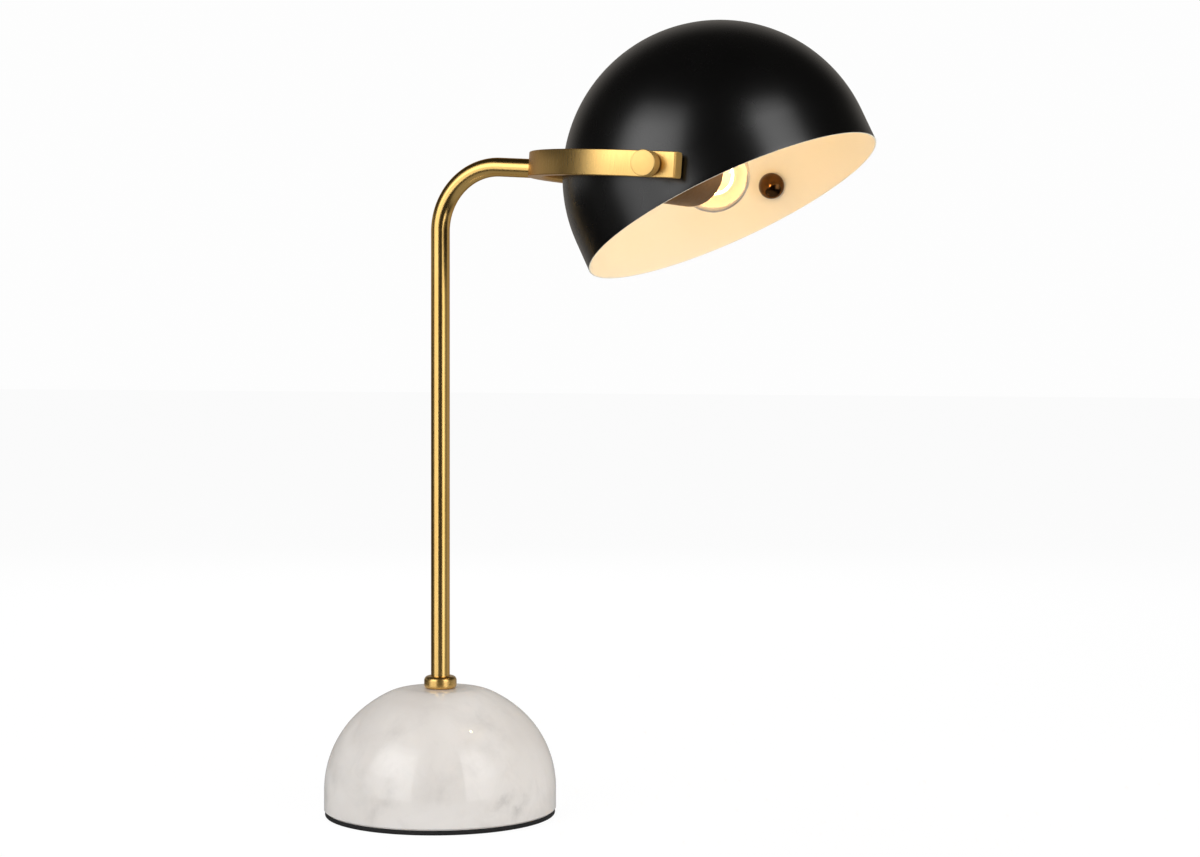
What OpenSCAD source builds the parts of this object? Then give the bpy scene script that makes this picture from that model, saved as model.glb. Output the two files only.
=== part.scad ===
// Dome shade desk lamp: a spun dome shade tilts in a hollow U-shaped yoke at the end of a
// bent stem, on a turned marble base. Millimetres, +Z up, the origin on the table under the
// stem, +X along the arm, -Y the side of the lampholder.

/* [Base] */
// Radius of the marble foot
base_r = 74; // [68:1:82]
// Height of the table to the top of the marble's flat seat
seat_z = 80; // [74:1:84]
// How much larger the radius of the arc over the marble's crown is than the foot's
crown_spare = 4.5; // [3.5:0.5:8]
// How far the centre of the arc over the marble's shoulder lies off the stem's axis
shoulder_off = 9; // [4:0.5:12]
// How far the seat cuts the crown's arc off below its top
seat_cut = 4.7; // [3:0.1:8]
// Radius of the arc that eases the crown into the seat
seat_round = 32; // [10:1:36]
// Thickness of the pad under the marble
pad_h = 3; // [2:0.5:5]
// How far the pad's edge lies inside the marble's
pad_inset = 0.6; // [0.2:0.1:2]
// Chamfer on the marble's lower edge
foot_chamfer = 1; // [0.4:0.1:2]
// Radius of the hollow under the marble
recess_r = 46; // [40:1:52]
// Depth of the hollow under the marble
recess_h = 24; // [22:1:30]
// Radius of the steel clamp plate in the hollow
plate_r = 30; // [22:1:38]
// Thickness of the steel clamp plate
plate_h = 3; // [2:0.5:5]

/* [Cord inlet] */
// Radius of the cord's way through the inlet bush
inlet_r = 3.6; // [2.8:0.1:4]
// Wall of the inlet bush
inlet_wall = 1.6; // [1:0.1:2.2]
// Height of the inlet's axis above the underside of the marble
inlet_rise = 10; // [8:0.5:12]
// Radius of the inlet bush's flange
inlet_flange_r = 7; // [6.4:0.1:8]
// Thickness of the inlet bush's flange
inlet_flange_h = 1.5; // [1:0.1:2.5]

/* [Stem] */
// Outer radius of the stem tube
stem_r = 6; // [5.8:0.1:6.6]
// Wall of the stem tube
stem_wall = 1.5; // [1.2:0.1:1.8]
// Height at which the arm's axis meets the stem's axis
arm_z = 415; // [360:5:460]
// Slope of the arm below the horizontal, in degrees
arm_droop = 4; // [0:1:10]
// Radius of the bend in the stem's axis
bend_r = 40; // [30:1:46]
// Radius of the collar on the marble
collar_r = 10.4; // [9.5:0.1:13]
// Height of the collar
collar_h = 8; // [6:0.5:12]
// Radius of the collar's upper edge
collar_top_round = 3; // [1:0.1:3]
// Radius of the collar's lower edge
collar_foot_round = 2; // [1:0.1:2.5]

/* [Yoke] */
// Distance of the pivot from the stem's axis, along the arm
pivot_x = 192; // [185:1:210]
// Height of the yoke's bar
bar_h = 15; // [14:0.5:18]
// Thickness of the yoke's bar
bar_t = 9; // [8:0.5:9]
// Wall of the yoke's hollow bar
bar_wall = 1.5; // [1.2:0.1:2]
// Radius of the bar's edges that face the shade
bar_round = 2; // [1:0.1:2]
// How far the bend's centre lies behind the pivot
leg_back = 11; // [5:0.5:14]
// Length of the legs beyond the pivot
leg_front = 16.5; // [12:0.5:24]
// Thickness of the plates that close the legs
end_plate_t = 1.2; // [0.8:0.1:2]

/* [Pivots] */
// Radius of the threaded pivot tubes
pivot_r = 5; // [4.6:0.1:5]
// Radius of the way through the pivot tube for the wires
pivot_bore_r = 3.4; // [2.5:0.1:3.6]
// Radius of the thumb knobs
knob_r = 7.5; // [6.8:0.1:9]
// Length of the thumb knobs
knob_h = 7.5; // [6:0.5:12]
// Chamfer on the knobs' faces
knob_chamfer = 0.4; // [0.2:0.1:0.8]
// Thickness of the knobs' closed end
knob_face_t = 2; // [1.5:0.1:3]
// Radius of the washers under the knobs
knob_washer_r = 6.6; // [6.2:0.1:6.7]
// Thickness of the washers under the knobs
knob_washer_t = 1.5; // [0.8:0.1:2]
// Radius of the friction washers between the yoke and the shade
friction_r = 6.9; // [6:0.1:7]
// Thickness of the friction washers
friction_t = 1.5; // [1:0.1:3]
// Radius of the round cap nut inside the shade
cap_nut_r = 8.3; // [7.5:0.1:9]
// Height of the cap nut's straight rim
cap_nut_rim = 2.5; // [1.5:0.1:4]
// Height of the cap nut's dome
cap_nut_dome = 5.5; // [5:0.1:7]
// Thickness of the washers inside the shade's wall
seat_washer_t = 1.3; // [1.2:0.1:2]
// Radius of the washers inside the shade's wall
seat_washer_r = 7.6; // [7:0.1:9]

/* [Shade] */
// Outer radius of the dome
shade_r = 95; // [90:0.5:95]
// Thickness of the spun sheet
shade_t = 1; // [0.7:0.1:1.5]
// Length of the straight skirt below the dome
skirt_h = 20.5; // [10:0.5:30]
// Height of the pivots above the dome's centre
pivot_rise = 1; // [0:0.5:4]
// Tilt of the shade's mouth away from the stem, in degrees
shade_tilt = 26; // [0:1:60]

/* [Lampholder] */
// Outer radius of the metal cup
cup_r = 21; // [21:0.5:24]
// Length of the metal cup
cup_l = 48; // [44:1:54]
// Wall of the metal cup
cup_wall = 0.8; // [0.6:0.1:1]
// Radius of the cup's closed corner
cup_round = 6; // [6:0.5:9]
// Outer radius of the lampholder's sleeve
sleeve_r = 18; // [17.5:0.1:18.5]
// How far the lampholder's sleeve stands out of the cup
sleeve_out = 5; // [2:0.5:8]
// Thickness of the lampholder's threaded end
holder_end_t = 9; // [6:0.5:10]
// Length of the lampholder's wiring chamber
chamber_l = 9; // [8:0.5:12]
// Thickness of the block that carries the contacts
block_t = 7; // [6:0.5:8]
// Wall of the brass screw shell
shell_wall = 0.4; // [0.3:0.1:0.6]

/* [Bulb] */
// Radius of the bulb's glass ball
globe_r = 22.5; // [20:0.5:24]
// Wall of the bulb's glass
glass_wall = 0.8; // [0.6:0.1:1]
// Radius of the bulb's screw cap
lamp_cap_r = 13; // [12.6:0.1:13]
// Length of the bulb's screw cap and its contact
lamp_cap_l = 26.5; // [25:0.5:28]
// Radius of the glass neck at the screw cap
neck_r = 12.2; // [11.5:0.1:12.4]
// Radius of the sweep from the neck into the ball
neck_sweep_r = 12; // [8:0.5:14]
// Radius of the filament's loop
filament_r = 10.5; // [6:0.5:11]
// Radius of the coiled filament
filament_wire_r = 0.35; // [0.2:0.05:0.5]
// Radius of the filament's supports
support_wire_r = 0.3; // [0.2:0.05:0.5]

/* [Fits and fasteners] */
// Radial play of a turning fit or a thread
running_play = 0.06; // [0.03:0.01:0.1]
// Gap between neighbours that only pass each other
gap = 0.3; // [0.2:0.05:0.5]
// Outer radius of the threaded rod in the base
rod_r = 5; // [4.5:0.1:5]
// Bore radius of the threaded rod in the base
rod_bore_r = 3.5; // [2.5:0.1:3.6]
// Depth of the thread in the stem's foot
rod_grip = 14; // [8:1:30]
// Width across the flats of the hexagon nuts
nut_af = 17; // [15:0.5:17]
// Height of the hexagon nut under the base
base_nut_h = 5; // [3:0.5:6]
// Height of the hexagon nut in the cup
cup_nut_h = 3; // [2:0.5:3.5]
// Thickness of the spring washer under the base
lock_washer_t = 2; // [1:0.1:2.5]
// Radius of the spring washer
lock_washer_r = 8.5; // [7:0.1:10]

/* [Hidden] */
$fn = 128;

// Far more than any size here, for cutting away half spaces
far = 400;
// How far a cutting shape runs past the surface that it cuts
cut = 1;
// The marble's crown arc and its centre
crown_r = base_r + crown_spare;
crown_cz = seat_z + seat_cut - crown_r;
// The marble's shoulder arc, which touches the crown arc from inside and ends upright on the foot
shoulder_r = base_r - shoulder_off;
shoulder_cz = crown_cz + sqrt(pow(crown_r - shoulder_r, 2) - pow(shoulder_off, 2));
// Direction in which the two arcs touch
touch_angle = atan2(shoulder_cz - crown_cz, shoulder_off);
// The arc round the seat touches the seat and, from inside, the crown arc
seat_round_z = seat_z - seat_round;
seat_r = sqrt(pow(crown_r - seat_round, 2) - pow(seat_round_z - crown_cz, 2));
seat_touch_angle = atan2(seat_round_z - crown_cz, seat_r);
recess_z = pad_h + recess_h;
inlet_z = pad_h + inlet_rise;
inlet_outer_r = inlet_r + inlet_wall;
// How far the inlet bush reaches into the hollow
bush_end = 2;
plate_z = recess_z - plate_h;
nut_top_z = plate_z - lock_washer_t;
// How far the rod stands out of its nut
rod_end = 1.5;
rod_foot_z = nut_top_z - base_nut_h - rod_end;
// Width of the slit in the spring washer
washer_slit = 1.2;
stem_bore_r = stem_r - stem_wall;
bend_angle = 90 + arm_droop;
// Length from the corner of the two axes to the bend's ends
bend_tangent = bend_r * tan(bend_angle / 2);
// The arm starts this far inside the bend and is this much thinner, so that the two join as one
// tube along a clean edge and don't graze each other
arm_lap = 0.3;
arm_step = 0.01;
// The yoke's bend, along the arm, and its half widths inside and outside
yoke_cx = pivot_x - leg_back;
yoke_inner_w = shade_r + friction_t;
yoke_half_w = yoke_inner_w + bar_t;
leg_end = leg_back + leg_front;
// Length of the end plates' spigots inside the bar
spigot_l = 3;
// The stem tube ends flush with the inside of the yoke's outer wall
arm_end = yoke_cx - yoke_half_w + bar_wall;
cavity_h = bar_h - 2 * bar_wall;
cavity_t = bar_t - 2 * bar_wall;
pivot_hole_r = pivot_r + running_play;
knob_base = yoke_half_w + knob_washer_t;
// The flat washers inside bear on the hollow wall at their edges, with this little play, and
// give a seat to the nut on one side and to the cup on the other
seat_play = 0.02;
shade_inner_r = shade_r - shade_t;
wall_y = sqrt(pow(shade_inner_r, 2) - pow(seat_washer_r + pivot_rise, 2)) - seat_play;
seat_y = wall_y - seat_washer_t;
pivot_end = knob_base + knob_h - knob_face_t - gap;
// Depth of the cap nut's thread
cap_nut_bore = 5;
// Places along the pivot axis, counted inwards from the cup's closed end
cup_nut_y = cup_wall;
holder_y = cup_nut_y + cup_nut_h;
chamber_y = holder_y + holder_end_t;
block_y = chamber_y + chamber_l;
contact_y = block_y + block_t;
sleeve_end = cup_l + sleeve_out;
// The sprung contact: a strip on the block, with a tongue folded back over it to the bulb's tip
contact_h = 1.6;
contact_t = 0.4;
contact_w = 5;
contact_l = 9;
tongue_l = 7;
tip_y = contact_y + contact_h + gap;
shell_bore_r = lamp_cap_r + running_play;
shell_outer_r = shell_bore_r + shell_wall;
// How far the screw shell's edge lies inside the sleeve's
shell_inset = 2;
// The sleeve hangs on a ledge outside the block
sleeve_wall = 2;
sleeve_bore_r = shell_outer_r + gap;
block_r = sleeve_r - sleeve_wall - gap;
// Terminal screws in the block, with their heads' size and their slots
terminal_x = 10;
terminal_r = 1.5;
terminal_head_r = 2.4;
terminal_head_h = 1.8;
slot_w = 0.6;
slot_d = 0.8;
// The bulb, counted from its tip contact: where the sweep leaves the neck, and the ball's centre
neck_straight = 1.5;
sweep_y = lamp_cap_l + neck_straight;
globe_y = sweep_y + sqrt(pow(globe_r + neck_sweep_r, 2) - pow(neck_r + neck_sweep_r, 2));
// How deep the neck sits in the cap, and with what play
neck_in = 2;
neck_play = 0.1;
// The filament's plane, and the top of the glass stem that holds it
filament_y = globe_y + 6;
mount_top = globe_y - 6;
// The glass stem: its flare in the neck, its rod and the bead at its top
flare_h = 6;
flare_top_r = 4;
mount_r = 2.4;
bead_r = 3;
// Angles round the bulb's axis at which the supports hold the filament, which is open towards
// the shade's crown
support_angles = [-75, 15, 105, 195];
// The bulb's contact and its insulator, with the lead that runs through it
tip_h = 1.5;
tip_r = 5;
insulator_h = 5;
insulator_r = 11.5;
insulator_lip = 1;
cap_wall = 0.3;
lead_r = 0.9;
lead_hole_r = 1;

// Frames

// The arm, with its origin on the stem's axis and +X along the arm's axis
module arm_frame() {
    translate([0, 0, arm_z])
        rotate([0, arm_droop, 0]) children();
}

// The shade, with its origin on the pivot axis and its mouth towards -Z
module shade_frame() {
    arm_frame()
        translate([pivot_x, 0, 0])
            rotate([0, -arm_droop - shade_tilt, 0]) children();
}

// The pivot axis, with +Z outwards through the near knob (side -1) or the far one (side 1)
module pivot_frame(side) {
    shade_frame()
        rotate([-90 * side, 0, 0]) children();
}

// The lampholder, with its origin on the cup's closed end and +Z towards the bulb
module holder_frame() {
    pivot_frame(1)
        translate([0, 0, -seat_y]) children();
}

// The bulb, with its origin on its tip contact and +Z towards the glass
module bulb_frame() {
    holder_frame()
        translate([0, 0, tip_y]) children();
}

// Shapes that repeat

// A flat ring or a tube
module ring(r, bore_r, h) {
    difference() {
        cylinder(r = r, h = h);
        translate([0, 0, -cut]) cylinder(r = bore_r, h = h + 2 * cut);
    }
}

// A hexagon nut with its corners turned down
module hex_nut(af, bore_r, h) {
    corner_r = af / sqrt(3);
    difference() {
        intersection() {
            cylinder(r = corner_r, h = h, $fn = 6);
            cylinder(r = (corner_r + af / 2) / 2, h = h);
        }
        translate([0, 0, -cut]) cylinder(r = bore_r, h = h + 2 * cut);
    }
}

// A straight round wire between two points
module wire(a, b, r) {
    d = b - a;
    translate(a)
        rotate([0, acos(d[2] / norm(d)), atan2(d[1], d[0])])
            cylinder(r = r, h = norm(d), $fn = 24);
}

// Base

// Everything outside a ray from the crown arc's centre, counted from the stem's axis
module outside_ray(angle) {
    polygon([[0, -far], [far, -far],
             [far * cos(angle), crown_cz + far * sin(angle)], [0, crown_cz]]);
}

// Half section of the marble's outside
module marble_section() {
    intersection() {
        translate([0, crown_cz]) circle(r = crown_r);
        translate([0, pad_h]) square([far, seat_z - pad_h]);
        union() {
            square([seat_r, far]);
            translate([seat_r, seat_round_z]) circle(r = seat_round);
            outside_ray(seat_touch_angle);
        }
        union() {
            square([base_r, shoulder_cz]);
            intersection() {
                translate([shoulder_off, shoulder_cz]) circle(r = shoulder_r);
                translate([0, shoulder_cz - 0.01]) square(far);
            }
            polygon([[0, crown_cz],
                     [far * cos(touch_angle), crown_cz + far * sin(touch_angle)],
                     [0, crown_cz + far]]);
        }
    }
}

module base_marble() {
    color("#e9e4dc")
    difference() {
        rotate_extrude() marble_section();
        // Chamfer round the lower edge
        translate([0, 0, pad_h])
            difference() {
                translate([0, 0, -cut]) cylinder(r = base_r + cut, h = foot_chamfer + cut);
                translate([0, 0, -2 * cut])
                    cylinder(r1 = base_r - foot_chamfer - 2 * cut, r2 = base_r, h = foot_chamfer + 2 * cut);
            }
        translate([0, 0, -cut]) cylinder(r = recess_r, h = recess_z + cut);
        cylinder(r = rod_r + gap, h = seat_z + cut);
        // Way for the inlet bush, with a flat for its flange
        translate([0, 0, inlet_z]) rotate([0, -90, 0]) {
            cylinder(r = inlet_outer_r, h = base_r + cut);
            translate([0, 0, base_r - inlet_flange_h])
                cylinder(r = inlet_flange_r + gap, h = inlet_flange_h + cut);
        }
    }
}

module base_pad() {
    color("#1c1b1a")
    cylinder(r = base_r - pad_inset, h = pad_h);
}

module clamp_plate() {
    color("#8d9093")
    translate([0, 0, plate_z]) ring(plate_r, rod_r + gap, plate_h);
}

// Hollow threaded rod that pulls the stem down onto the marble
module base_rod() {
    color("#b8a46a")
    translate([0, 0, rod_foot_z]) ring(rod_r, rod_bore_r, seat_z + rod_grip - rod_foot_z);
}

// Split spring washer
module lock_washer() {
    color("#77797b")
    translate([0, 0, nut_top_z])
        difference() {
            ring(lock_washer_r, rod_r + gap, lock_washer_t);
            translate([0, -washer_slit / 2, -cut]) cube([far, washer_slit, lock_washer_t + 2 * cut]);
        }
}

module base_nut() {
    color("#b9bcc0")
    translate([0, 0, nut_top_z - base_nut_h]) hex_nut(nut_af, rod_r + running_play, base_nut_h);
}

// Bush that the cord enters through, at the back of the base
module inlet_bush() {
    bush_l = base_r - recess_r + bush_end;
    color("#242322")
    translate([-recess_r + bush_end, 0, inlet_z]) rotate([0, -90, 0])
        difference() {
            union() {
                cylinder(r = inlet_outer_r, h = bush_l);
                translate([0, 0, bush_l - inlet_flange_h]) cylinder(r = inlet_flange_r, h = inlet_flange_h);
            }
            translate([0, 0, -cut]) cylinder(r = inlet_r, h = bush_l + 2 * cut);
        }
}

// Stem

module collar() {
    color("#c9a252")
    translate([0, 0, seat_z])
        rotate_extrude()
            difference() {
                union() {
                    translate([0, collar_foot_round])
                        square([collar_r, collar_h - collar_foot_round - collar_top_round]);
                    square([collar_r - collar_foot_round, collar_h]);
                    square([collar_r - collar_top_round, collar_h]);
                    translate([collar_r - collar_foot_round, collar_foot_round]) circle(r = collar_foot_round);
                    translate([collar_r - collar_top_round, collar_h - collar_top_round])
                        circle(r = collar_top_round);
                }
                translate([0, -cut]) square([stem_r + running_play, collar_h + 2 * cut]);
            }
}

// A round bar along the stem's path: up to the bend, round it and out to the yoke. past is how
// far it runs beyond both ends.
module stem_path(r, past) {
    $fn = 64;
    riser_l = arm_z - bend_tangent - seat_z;
    arm_l = arm_end - bend_tangent;
    translate([bend_r, 0, arm_z - bend_tangent]) rotate([90, 0, 180]) {
        rotate_extrude(angle = bend_angle) translate([bend_r, 0]) circle(r = r);
        translate([bend_r, 0, 0]) rotate([90, 0, 0]) cylinder(r = r, h = riser_l + past);
        rotate([0, 0, bend_angle])
            translate([bend_r, -arm_lap, 0])
                rotate([-90, 0, 0]) cylinder(r = r - arm_step, h = arm_lap + arm_l + past);
    }
}

module stem_tube() {
    color("#c9a252")
    difference() {
        stem_path(stem_r, 0);
        stem_path(stem_bore_r, cut);
        // Thread for the rod
        translate([0, 0, seat_z - cut]) cylinder(r = rod_r + running_play, h = rod_grip + cut);
    }
}

// Yoke

// Cross-section of the bar: x across its thickness from the inner face, y up its height
module bar_section() {
    difference() {
        translate([0, -bar_h / 2]) square([bar_t, bar_h]);
        for (side = [-1, 1])
            translate([0, side * (bar_h / 2 - bar_round)])
                difference() {
                    translate([-cut, side > 0 ? 0 : -bar_round - cut]) square(bar_round + cut);
                    translate([bar_round, 0]) circle(r = bar_round);
                }
    }
}

module cavity_section() {
    translate([bar_wall, -cavity_h / 2]) square([cavity_t, cavity_h]);
}

// A cross-section swept round the U, with legs of the length that is given
module yoke_sweep(leg) {
    rotate([0, 0, 90]) rotate_extrude(angle = 180) translate([yoke_inner_w, 0]) children();
    for (side = [0, 1])
        mirror([0, side, 0])
            rotate([90, 0, 90]) linear_extrude(leg) translate([yoke_inner_w, 0]) children();
}

module yoke() {
    color("#c9a252")
    arm_frame()
        difference() {
            translate([yoke_cx, 0, 0])
                difference() {
                    yoke_sweep(leg_end - end_plate_t) bar_section();
                    yoke_sweep(leg_end) cavity_section();
                }
            // Hole for the stem tube, through the outer wall only
            translate([yoke_cx - yoke_half_w - cut, 0, 0])
                rotate([0, 90, 0]) cylinder(r = stem_r, h = bar_wall + 2 * cut);
            // Bores for the pivots
            for (side = [-1, 1])
                translate([pivot_x, side * yoke_inner_w, 0])
                    rotate([-90 * side, 0, 0])
                        translate([0, 0, -cut]) cylinder(r = pivot_hole_r, h = bar_t + 2 * cut);
        }
}

// Plates that close the hollow legs, each with a spigot inside the bar
module yoke_end_plates() {
    color("#c9a252")
    arm_frame()
        for (side = [0, 1])
            mirror([0, side, 0])
                translate([yoke_cx + leg_end - end_plate_t, 0, 0]) rotate([90, 0, 90]) {
                    linear_extrude(end_plate_t) translate([yoke_inner_w, 0]) bar_section();
                    translate([yoke_inner_w + bar_wall + gap, -cavity_h / 2 + gap, -spigot_l])
                        cube([cavity_t - 2 * gap, cavity_h - 2 * gap, spigot_l]);
                }
}

// Shade

// The shade's outside, or with an inset its inside, from the crown to below the rim
module dome(inset, skirt) {
    translate([0, 0, -pivot_rise]) {
        intersection() {
            sphere(r = shade_r - inset);
            translate([-far, -far, 0]) cube(2 * far);
        }
        translate([0, 0, -skirt]) cylinder(r = shade_r - inset, h = skirt);
    }
}

module shade() {
    color("#1d1c1c")
    difference() {
        shade_frame()
            difference() {
                dome(0, skirt_h);
                dome(shade_t, skirt_h + cut);
            }
        for (side = [-1, 1])
            pivot_frame(side) translate([0, 0, seat_y]) cylinder(r = pivot_hole_r, h = yoke_inner_w - seat_y);
    }
}

// Washers between the shade and the yoke
module friction_washers() {
    color("#2a2826")
    for (side = [-1, 1])
        pivot_frame(side)
            translate([0, 0, shade_r]) ring(friction_r, pivot_hole_r, friction_t);
}

// Washers under the cap nut and under the cup
module seat_washers() {
    color("#3a2f26")
    for (side = [-1, 1])
        pivot_frame(side)
            translate([0, 0, seat_y]) ring(seat_washer_r, pivot_hole_r, seat_washer_t);
}

// Hollow threaded tube that the near side turns on; the wires enter it from the yoke's hollow
module near_pivot_tube() {
    tube_in = seat_y - chamber_y;
    slot_h = cavity_t - 2 * gap;
    color("#b8a46a")
    pivot_frame(-1)
        difference() {
            translate([0, 0, tube_in]) cylinder(r = pivot_r, h = pivot_end - tube_in);
            translate([0, 0, tube_in - cut])
                cylinder(r = pivot_bore_r, h = yoke_half_w - bar_wall - gap - tube_in + cut);
            translate([-far, -pivot_bore_r / 2, yoke_inner_w + bar_wall + gap])
                cube([far, pivot_bore_r, slot_h]);
        }
}

// Solid stud that the far side turns on
module far_pivot_stud() {
    stud_in = seat_y - cap_nut_bore + gap;
    color("#b8a46a")
    pivot_frame(1)
        translate([0, 0, stud_in]) cylinder(r = pivot_r, h = pivot_end - stud_in);
}

// Round cap nut on the shade's far inner wall
module cap_nut() {
    // Sphere that gives the dome its height over its rim
    dome_r = (cap_nut_dome * cap_nut_dome + cap_nut_r * cap_nut_r) / (2 * cap_nut_dome);
    color("#4a3222")
    pivot_frame(1)
        translate([0, 0, seat_y]) mirror([0, 0, 1])
            difference() {
                union() {
                    cylinder(r = cap_nut_r, h = cap_nut_rim);
                    intersection() {
                        translate([0, 0, cap_nut_rim + cap_nut_dome - dome_r]) sphere(r = dome_r);
                        cylinder(r = cap_nut_r, h = far);
                        translate([-far / 2, -far / 2, cap_nut_rim]) cube(far);
                    }
                }
                translate([0, 0, -cut]) cylinder(r = pivot_r + running_play, h = cap_nut_bore + cut);
            }
}

// Lampholder

// Half section of the cup's outside, from its closed end
module cup_section(r, corner, length) {
    translate([0, corner]) square([r, length - corner]);
    square([r - corner, length]);
    intersection() {
        translate([r - corner, corner]) circle(r = corner);
        square([r, length]);
    }
}

module socket_cup() {
    color("#4a3222")
    holder_frame()
        difference() {
            rotate_extrude() cup_section(cup_r, cup_round, cup_l);
            translate([0, 0, cup_wall])
                rotate_extrude() cup_section(cup_r - cup_wall, cup_round - cup_wall, cup_l);
            translate([0, 0, -cut]) cylinder(r = pivot_r + running_play, h = cup_wall + 2 * cut);
        }
}

module socket_nut() {
    color("#b9bcc0")
    holder_frame()
        translate([0, 0, cup_nut_y]) hex_nut(nut_af, pivot_r + running_play, cup_nut_h);
}

// Threaded end of the lampholder, screwed onto the pivot tube
module holder_end() {
    lip_r = sleeve_r - sleeve_wall;
    color("#201d1b")
    holder_frame()
        translate([0, 0, holder_y])
            difference() {
                cylinder(r = lip_r, h = holder_end_t + chamber_l);
                translate([0, 0, -cut]) cylinder(r = pivot_r + running_play, h = holder_end_t + 2 * cut);
                translate([0, 0, holder_end_t]) cylinder(r = lip_r - sleeve_wall, h = chamber_l + cut);
            }
}

// Ceramic block that carries the contacts, with the wires' ways and the terminal screws' holes
module contact_block() {
    color("#e4dccd")
    holder_frame()
        translate([0, 0, block_y])
            difference() {
                cylinder(r = block_r, h = block_t);
                for (side = [-1, 1])
                    translate([side * terminal_x, 0, -cut]) cylinder(r = terminal_r, h = block_t + 2 * cut);
            }
}

// Slotted screws that clamp the two wires
module terminal_screws() {
    color("#c3a763")
    holder_frame()
        for (side = [-1, 1])
            translate([side * terminal_x, 0, block_y - terminal_head_h])
                difference() {
                    union() {
                        cylinder(r = terminal_head_r, h = terminal_head_h);
                        cylinder(r = terminal_r, h = terminal_head_h + block_t);
                    }
                    translate([-far / 2, -slot_w / 2, -cut]) cube([far, slot_w, slot_d + cut]);
                }
}

// Brass shell that the bulb screws into
module screw_shell() {
    color("#c3a763")
    holder_frame()
        translate([0, 0, contact_y]) ring(shell_outer_r, shell_bore_r, sleeve_end - shell_inset - contact_y);
}

// Insulating sleeve round the screw shell
module holder_sleeve() {
    color("#201d1b")
    holder_frame()
        difference() {
            translate([0, 0, block_y]) cylinder(r = sleeve_r, h = sleeve_end - block_y);
            translate([0, 0, block_y - cut]) cylinder(r = block_r + running_play, h = block_t + cut);
            translate([0, 0, block_y]) cylinder(r = sleeve_bore_r, h = far);
        }
}

// Sprung contact in the middle of the block: a strip folded back over itself to press on the tip
module centre_contact() {
    bend = contact_h / 2;
    color("#c3a763")
    holder_frame()
        translate([0, contact_w / 2, contact_y]) rotate([90, 0, 0])
            linear_extrude(contact_w) {
                translate([-contact_l / 2, 0]) square([contact_l, contact_t]);
                translate([-contact_l / 2, contact_h - contact_t]) square([tongue_l, contact_t]);
                translate([-contact_l / 2, bend])
                    difference() {
                        circle(r = bend);
                        circle(r = bend - contact_t);
                        translate([0, -far / 2]) square(far);
                    }
            }
}

// Bulb

// Half section of the glass's outside, from the cap up; inset makes the inside
module glass_section(inset) {
    r = globe_r - inset;
    neck = neck_r - inset;
    sweep = neck_sweep_r + inset;
    sweep_cy = globe_y - sqrt(pow(r + sweep, 2) - pow(neck + sweep, 2));
    intersection() {
        translate([0, globe_y]) circle(r = r);
        square([far, far]);
    }
    // Between the neck and the ball, swept in by a circle that touches both
    difference() {
        polygon([[0, sweep_cy], [neck + sweep, sweep_cy], [0, globe_y]]);
        translate([neck + sweep, sweep_cy]) circle(r = sweep);
    }
    translate([0, lamp_cap_l - neck_in]) square([neck, sweep_cy - lamp_cap_l + neck_in + 0.01]);
}

module bulb_glass() {
    color([0.95, 0.95, 0.93, 0.35])
    bulb_frame()
        rotate_extrude()
            difference() {
                glass_section(0);
                glass_section(glass_wall);
            }
}

// Screw cap of the bulb
module bulb_cap() {
    color("#b9bcc0")
    bulb_frame()
        difference() {
            translate([0, 0, tip_h + insulator_h])
                cylinder(r = lamp_cap_r, h = lamp_cap_l - tip_h - insulator_h);
            translate([0, 0, tip_h + insulator_h + cap_wall])
                cylinder(r = neck_r + neck_play, h = lamp_cap_l);
            cylinder(r = tip_r, h = lamp_cap_l / 2);
        }
}

// Black glass insulator between the cap and the tip contact
module cap_insulator() {
    color("#17171a")
    bulb_frame()
        difference() {
            translate([0, 0, tip_h]) cylinder(r1 = tip_r + insulator_lip, r2 = insulator_r, h = insulator_h);
            cylinder(r = lead_hole_r, h = lamp_cap_l / 2);
        }
}

module tip_contact() {
    color("#b9bcc0")
    bulb_frame() {
        cylinder(r1 = tip_r - insulator_lip, r2 = tip_r, h = tip_h);
        cylinder(r = lead_r, h = tip_h + insulator_h);
    }
}

// Glass stem inside the bulb
module bulb_mount() {
    color([0.9, 0.9, 0.88, 0.5])
    bulb_frame() {
        translate([0, 0, lamp_cap_l]) cylinder(r1 = neck_r - glass_wall - gap, r2 = flare_top_r, h = flare_h);
        translate([0, 0, lamp_cap_l + flare_h]) cylinder(r = mount_r, h = mount_top - lamp_cap_l - flare_h);
        translate([0, 0, mount_top]) sphere(r = bead_r);
    }
}

module support_wires() {
    color("#9a9a98")
    bulb_frame()
        for (a = support_angles)
            rotate([0, 0, a])
                wire([bead_r + support_wire_r, 0, mount_top],
                     [filament_r - filament_wire_r - gap, 0, filament_y], support_wire_r);
}

// Filament hung in a loop round the bulb's axis
module filament() {
    color("#ffd27a")
    bulb_frame()
        translate([0, 0, filament_y])
            rotate([0, 0, support_angles[0]])
                rotate_extrude(angle = support_angles[3] - support_angles[0])
                    translate([filament_r, 0]) circle(r = filament_wire_r, $fn = 24);
}

// Knobs

// Thumb knob: a blind nut on the end of the pivot
module knob(side) {
    color("#c9a252")
    pivot_frame(side)
        translate([0, 0, knob_base])
            difference() {
                union() {
                    cylinder(r = knob_r, h = knob_h - knob_chamfer);
                    translate([0, 0, knob_h - knob_chamfer])
                        cylinder(r1 = knob_r, r2 = knob_r - knob_chamfer, h = knob_chamfer);
                }
                translate([0, 0, -cut]) cylinder(r = pivot_hole_r, h = knob_h - knob_face_t + cut);
            }
}

module knob_washer(side) {
    color("#242322")
    pivot_frame(side)
        translate([0, 0, yoke_half_w]) ring(knob_washer_r, pivot_hole_r, knob_washer_t);
}

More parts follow.
